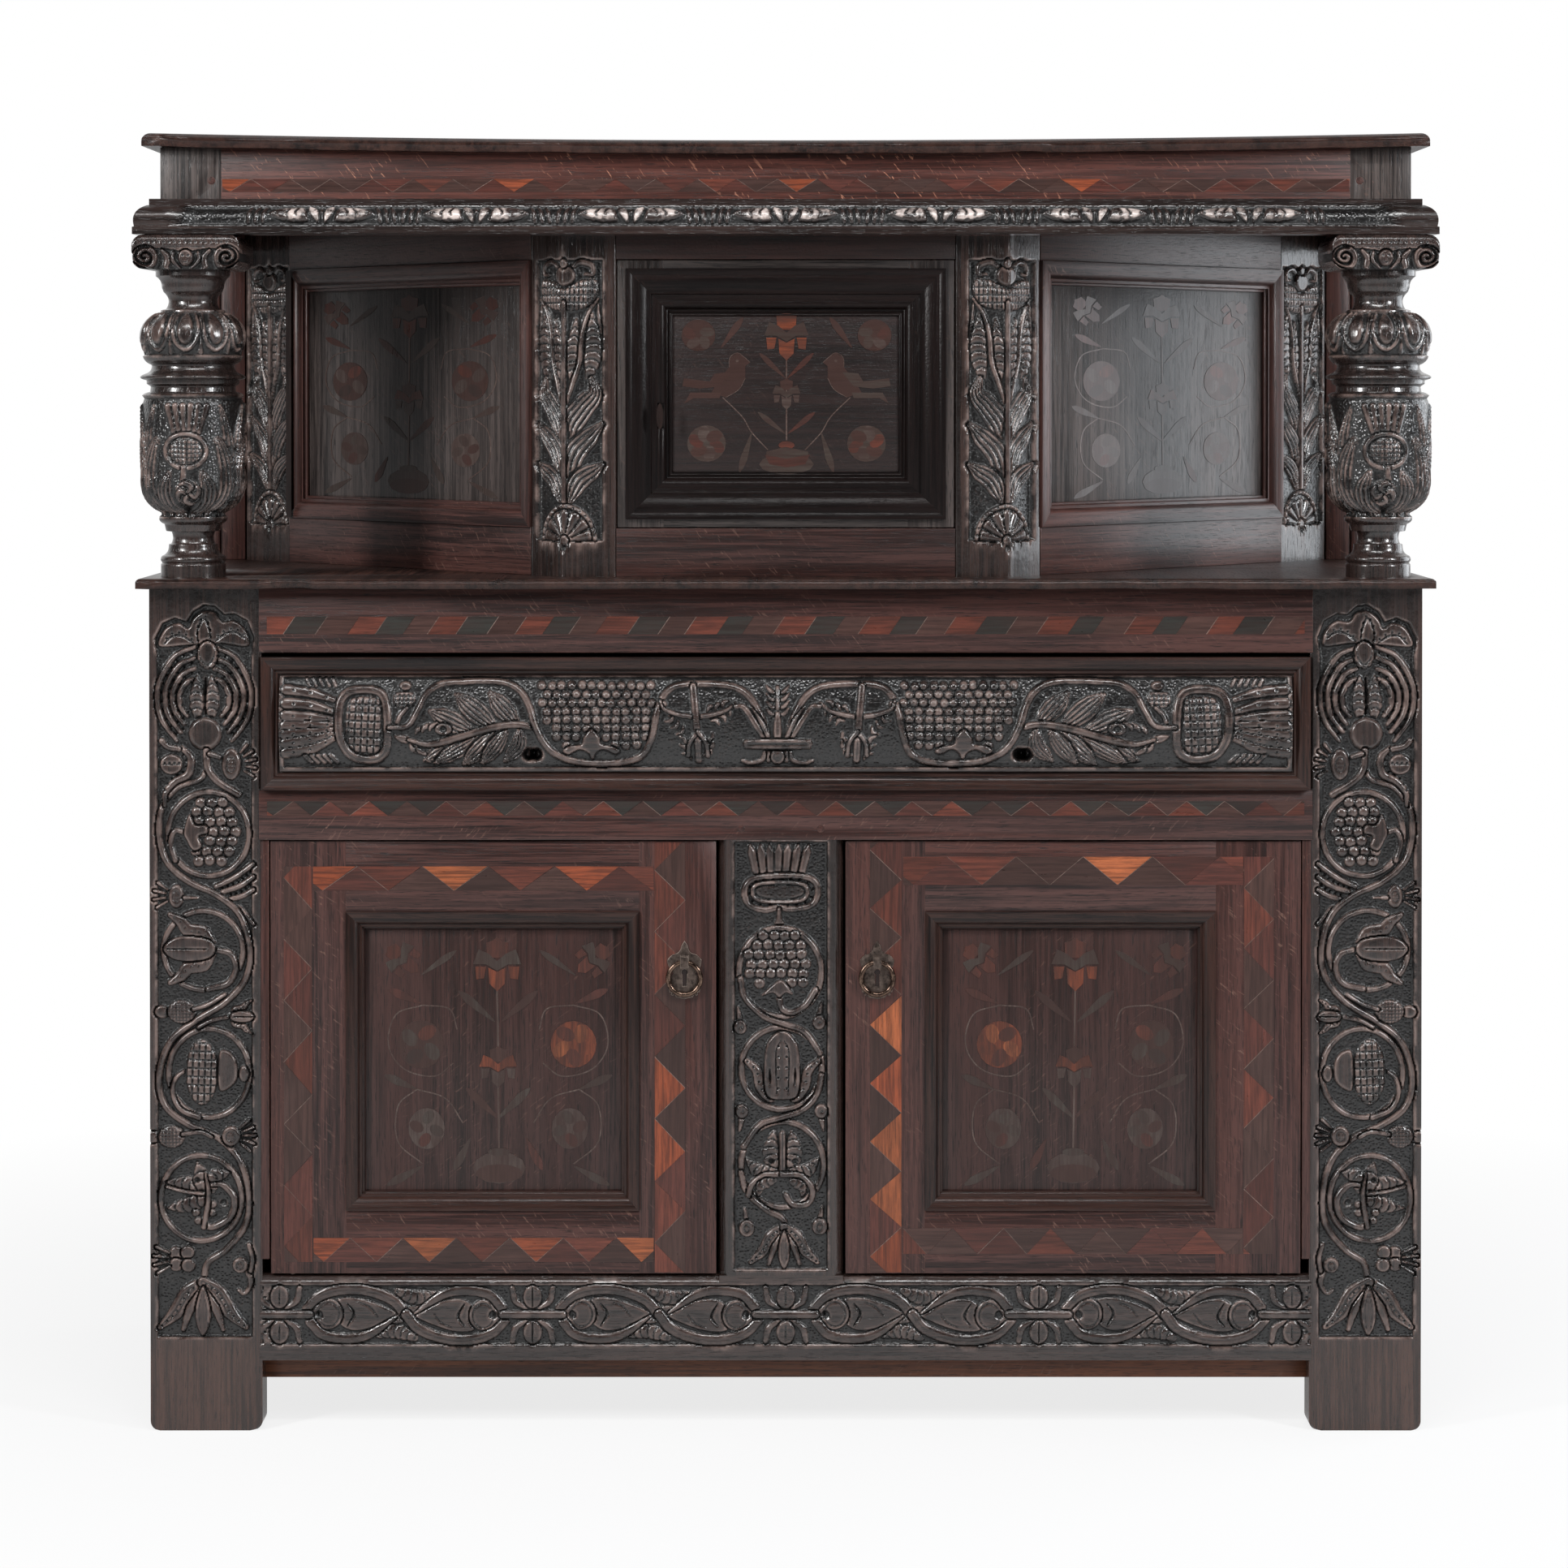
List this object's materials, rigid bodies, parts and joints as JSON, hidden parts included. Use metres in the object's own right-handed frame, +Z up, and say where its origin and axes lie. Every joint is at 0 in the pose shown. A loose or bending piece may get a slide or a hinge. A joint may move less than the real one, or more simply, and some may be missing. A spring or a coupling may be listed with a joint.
{
  "type": "court cupboard",
  "caption": "Oak court cupboard: lower case with carved stiles, drawer and two ring-pull doors, canted upper stage with a door behind two turned columns under a frieze.",
  "frame": {"origin": "middle of the cupboard's base, on the floor", "axes": "+Z up, +X to the right seen from the front, the front faces -Y"},
  "size_m": [1.6014, 0.5697, 1.602],
  "materials": {
    "carved_oak": "waxed, nearly black",
    "frame_oak": "waxed dark brown",
    "panel_oak": "waxed, faint marquetry",
    "inner_oak": "unfinished, aged",
    "iron": "dark, worn"
  },
  "bodies": {
    "carcase": {"back_boards": "inner_oak", "back_rails": "inner_oak", "bottom_bearers": "inner_oak", "bottom_boards": "inner_oak", "bottom_rail": "carved_oak", "canted_mouldings": "frame_oak", "canted_panels": "panel_oak", "canted_rails": "frame_oak", "centre_muntin": "carved_oak", "column_capitals": "carved_oak", "column_left": "carved_oak", "column_right": "carved_oak", "door_strips": "frame_oak", "drawer_rail": "frame_oak", "drawer_runners": "inner_oak", "frieze_boards": "frame_oak", "frieze_corner_blocks": "iron", "frieze_moulding": "carved_oak", "front_stile_left": "carved_oak", "front_stile_right": "carved_oak", "joint_pegs": "frame_oak", "lower_top_boards": "frame_oak", "rear_stiles": "inner_oak", "side_panels": "frame_oak", "side_rails": "frame_oak", "top_boards": "frame_oak", "top_rail": "frame_oak", "upper_back_boards": "inner_oak", "upper_front_posts": "carved_oak", "upper_front_rails": "frame_oak", "upper_rear_posts": "frame_oak", "upper_rear_stiles": "carved_oak"},
    "drawer": {"drawer_back": "inner_oak", "drawer_bottom": "inner_oak", "drawer_front": "carved_oak", "drawer_mouldings": "frame_oak", "drawer_sides": "inner_oak"},
    "left_door": {"left_door_frame": "frame_oak", "left_door_moulding": "frame_oak", "left_door_panel": "panel_oak", "left_door_pins": "iron", "left_lock_case": "iron", "left_pull_plate": "iron"},
    "right_door": {"right_door_frame": "frame_oak", "right_door_moulding": "frame_oak", "right_door_panel": "panel_oak", "right_door_pins": "iron", "right_lock_case": "iron", "right_pull_plate": "iron"},
    "upper_door": {"upper_door_frame": "frame_oak", "upper_door_moulding": "frame_oak", "upper_door_panel": "panel_oak", "upper_door_pins": "iron", "upper_lock_case": "iron"},
    "left_ring": {"left_pull_ring": "iron"},
    "right_ring": {"right_pull_ring": "iron"},
    "left_bolt": {"left_lock_bolt": "iron"},
    "right_bolt": {"right_lock_bolt": "iron"},
    "upper_bolt": {"upper_lock_bolt": "iron"}
  },
  "joints": [
    {"name": "drawer_slide", "type": "slide", "parent": "carcase", "child": "drawer", "axis": [0, -1, 0], "range_m": [0, 0.36]},
    {"name": "left_door_hinge", "type": "hinge", "parent": "carcase", "child": "left_door", "pos_m": [-0.6103, -0.23065, 0.46], "axis": [0, 0, -1], "range_deg": [0, 110]},
    {"name": "right_door_hinge", "type": "hinge", "parent": "carcase", "child": "right_door", "pos_m": [0.6103, -0.23065, 0.46], "axis": [0, 0, 1], "range_deg": [0, 110]},
    {"name": "upper_door_hinge", "type": "hinge", "parent": "carcase", "child": "upper_door", "pos_m": [0.184, -0.21715, 1.281], "axis": [0, 0, 1], "range_deg": [0, 110]},
    {"name": "left_ring_swing", "type": "hinge", "parent": "left_door", "child": "left_ring", "pos_m": [-0.125, -0.24515, 0.58], "axis": [-1, 0, 0], "range_deg": [0, 150]},
    {"name": "right_ring_swing", "type": "hinge", "parent": "right_door", "child": "right_ring", "pos_m": [0.113, -0.24515, 0.58], "axis": [-1, 0, 0], "range_deg": [0, 150]},
    {"name": "left_bolt_slide", "type": "slide", "parent": "left_door", "child": "left_bolt", "axis": [1, 0, 0], "range_m": [0, 0.012]},
    {"name": "right_bolt_slide", "type": "slide", "parent": "right_door", "child": "right_bolt", "axis": [-1, 0, 0], "range_m": [0, 0.012]},
    {"name": "upper_bolt_slide", "type": "slide", "parent": "upper_door", "child": "upper_bolt", "axis": [-1, 0, 0], "range_m": [0, 0.012]}
  ]
}
